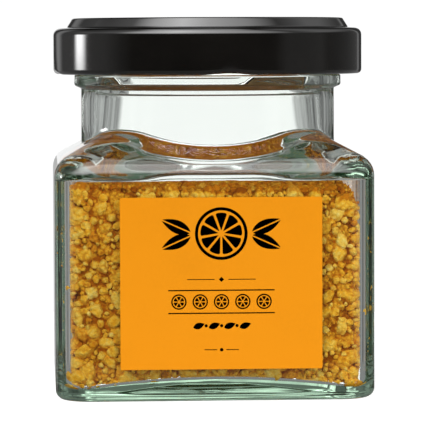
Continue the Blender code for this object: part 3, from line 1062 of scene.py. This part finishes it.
surround = {
    # Degrees round the jar, 0 behind it and growing to the right, and the brightness there
    "mirrored": ((-180, 0.03), (-120, 0.04), (-95, 0.32), (-80, 0.32), (-76, 0.5), (-70.5, 13.0), (-65, 13.0),
                 (-60, 0.3), (-40, 0.16), (-33, 0.55), (-28, 0.55), (-20, 0.06), (-10, 0.06), (-8, 1.05),
                 (8, 1.05), (10, 0.05), (26, 0.05), (30, 0.45), (34, 0.14), (82, 0.11), (90, 0.22),
                 (122, 0.22), (132, 0.05), (180, 0.03)),
    "front": ((-180, 0.65), (-150, 1.0), (-120, 0.6), (-100, 0.12), (-70, 0.04), (-30, 0.0), (30, 0.0),
              (80, 0.12), (110, 0.05), (140, 0.4), (180, 0.65)),
    # The same from 0 behind a face to 1 behind a corner
    "through": ((0.0, 0.34), (9 / 45, 0.30), (25 / 45, 0.23), (32 / 45, 0.16), (1.0, 0.13)),
    # Edges: where, and how steeply the light changes there
    "stripFoot": (-0.0118, 400),
    "stripTop": (0.18, 10),
    "behind": (0.93, 20),
    "whiteBehind": (0.15, 40),
    "whiteBeside": (0.9982, 700),
    "table": (-0.13, 25),
    "ceiling": (0.35, 4),
    "roof": (0.90, 20),
    "frontFoot": (0.28, 5),
    "frontTop": (0.97, 12),
    # Brightness
    "besideStrip": 0.5,
    "calm": 0.22,
    "calmBehind": 0.8,
    "calmGain": 0.35,
    "calmLeast": 0.05,
    "white": 1.16,
    "ceilingThrough": 0.3,
    "ceilingInside": 0.4,
    "tableMirrored": 0.24,
    "roofLight": 2.6,
    "frontLight": 9.3,
    "ambient": 0.24,
    "backdrop": 1.02,
    "backShift": 3.25,  # degrees that the white behind is turned, with the camera
    "roofAim": (-0.1, -0.12, 1),
}


def makeWorld():
    s = surround
    world = bpy.data.worlds.new("studio")
    world.use_nodes = True
    bpy.context.scene.world = world
    tree = world.node_tree
    direction = addNode(tree, "ShaderNodeTexCoord").outputs["Generated"]
    x, y, z = addNode(tree, "ShaderNodeSeparateXYZ", Vector=direction).outputs
    rays = addNode(tree, "ShaderNodeLightPath").outputs

    def calc(operation, a, b=0.0, clamp=False):
        settings = {"operation": operation, "use_clamp": clamp}
        return addNode(tree, "ShaderNodeMath", settings, i0=a, i1=b).outputs[0]

    def plus(a, b):
        return calc("ADD", a, b)

    def times(a, b):
        return calc("MULTIPLY", a, b)

    def without(part):
        return calc("SUBTRACT", 1.0, part)

    def over(source, edge):  # 0 up to the edge, then growing to 1
        return calc("MULTIPLY", calc("SUBTRACT", source, edge[0]), edge[1], True)

    def under(source, edge):
        return calc("MULTIPLY", calc("SUBTRACT", edge[0], source), edge[1], True)

    def choose(a, b, share):  # a where the share is 0, b where it is 1
        return plus(times(a, without(share)), times(b, share))

    def steps(source, stops):
        curve = ramp(tree, source, [(position, (value, value, value)) for position, value in stops])
        return addNode(tree, "ShaderNodeRGBToBW", Color=curve).outputs[0]

    def around(stops):
        top = max(value for _, value in stops)
        return times(steps(turn, [(degrees / 360 + 0.5, value / top) for degrees, value in stops]), top)

    def streaks(stretch, span, low, high, **look):
        scaled = addNode(tree, "ShaderNodeVectorMath", {"operation": "MULTIPLY"}, i0=direction, i1=stretch)
        wave = addNode(tree, "ShaderNodeTexNoise", Vector=scaled.outputs[0], **look)
        return addNode(tree, "ShaderNodeMapRange", Value=wave.outputs[0], From_Min=span[0], From_Max=span[1],
                       To_Min=low, To_Max=high).outputs[0]

    azimuth = calc("DIVIDE", calc("ARCTAN2", x, y), 2 * math.pi)  # in turns, 0 straight behind the jar
    turn = plus(azimuth, 0.5)
    stripes = streaks((1, 1, 0.12), (0.38, 0.66), 0.1, 2.8, Scale=9.0, Detail=4.0, Roughness=0.7)
    # What mirrors in lid and glass; the strip is as low as the lid's foot and ends a little above the lid
    mirrored = around(s["mirrored"])
    level = times(over(z, s["stripFoot"]), under(z, s["stripTop"]))
    mirrored = choose(calc("MINIMUM", mirrored, s["besideStrip"]), mirrored, level)
    # Mirrored within the glass, it is calmer and has no strip
    inside = calc("GREATER_THAN", rays["Transmission Depth"], 0.5)
    behind = over(calc("COSINE", times(azimuth, 2 * math.pi)), s["behind"])
    calm = calc("MINIMUM", mirrored, plus(times(behind, s["calmBehind"]), s["calm"]))
    calm = times(calm, plus(times(behind, s["calmGain"]), 1.0))
    mirrored = choose(mirrored, plus(times(calm, stripes), s["calmLeast"]), inside)
    # What shows through the glass: white straight behind, dark beside it, the same from four sides
    folded = calc("ARCCOSINE", calc("COSINE", times(azimuth, 8 * math.pi)))
    through = times(steps(calc("DIVIDE", folded, math.pi), s["through"]), stripes)
    shifted = calc("SUBTRACT", azimuth, s["backShift"] / 360)
    ahead = calc("ABSOLUTE", calc("SINE", times(shifted, 2 * math.pi)))
    white = calc("MAXIMUM", under(ahead, s["whiteBehind"]), over(ahead, s["whiteBeside"]))
    through = calc("MAXIMUM", through, times(white, s["white"]))
    table = under(z, s["table"])
    ceiling = over(z, s["ceiling"])
    through = times(through, without(calc("MAXIMUM", table, ceiling)))
    bands = streaks((0.6, 0.6, 7.0), (0.38, 0.62), 0.9, 2.4, Scale=2.5, Detail=3.0)
    through = plus(through, times(table, bands))
    through = plus(through, times(ceiling, s["ceilingThrough"]))
    mirrored = times(times(mirrored, without(ceiling)), without(table))
    mirrored = plus(mirrored, times(table, s["tableMirrored"]))
    mirrored = plus(mirrored, times(times(ceiling, inside), s["ceilingInside"]))
    # A round light above, and a wide one in front, strongest to the left, for the lid's rounded edges
    toRoof = addNode(tree, "ShaderNodeVectorMath", {"operation": "DOT_PRODUCT"}, i0=direction,
                     i1=Vector(s["roofAim"]).normalized()).outputs["Value"]
    roof = times(over(toRoof, s["roof"]), s["roofLight"])
    rise = times(over(z, s["frontFoot"]), under(z, s["frontTop"]))
    front = times(times(around(s["front"]), rise), s["frontLight"])
    mirrored = plus(mirrored, times(plus(roof, front), without(inside)))
    # Rays that were mirrored nowhere see what is behind; rough surfaces and the camera see even light
    straight = calc("LESS_THAN", rays["Glossy Depth"], 0.5)
    sharp = calc("LESS_THAN", rays["Diffuse Depth"], 0.5)
    flags = calc("MAXIMUM", rays["Is Glossy Ray"], rays["Is Transmission Ray"])
    seen = times(times(choose(mirrored, through, straight), sharp), flags)
    total = plus(seen, times(without(times(flags, sharp)), s["ambient"]))
    camera = rays["Is Camera Ray"]
    total = plus(times(total, without(camera)), times(camera, s["backdrop"]))
    tree.links.new(total, tree.nodes["Background"].inputs["Color"])


def makeFloor():
    bm = bmesh.new()
    bmesh.ops.create_circle(bm, segments=96, radius=150 * mm, cap_ends=True)
    bmesh.ops.translate(bm, verts=bm.verts, vec=(0, 0, -0.05 * mm))
    material, tree, shader = newMaterial("white table", Base_Color=(0.9, 0.9, 0.9, 1), Roughness=0.6,
                                         Emission_Color=(1, 1, 1, 1), Emission_Strength=0.6)
    floor = finishPiece("floor", bm, material)
    floor.visible_glossy = False
    floor.visible_transmission = False


makeCamera()
makeWorld()
makeFloor()
for name, values in lamps.items():
    addLight(name, *values)
bpy.context.scene.view_settings.view_transform = "Standard"
cycles = bpy.context.scene.cycles
cycles.max_bounces = 24  # light runs a long way inside thick glass
cycles.glossy_bounces = 20
cycles.transmission_bounces = 24
cycles.diffuse_bounces = 6
cycles.transparent_max_bounces = 16
print("studio: camera, surround and lights set")
makeJar()
makeLid()
makeLabel()
makePrint()
makeCore()
makeGranules()
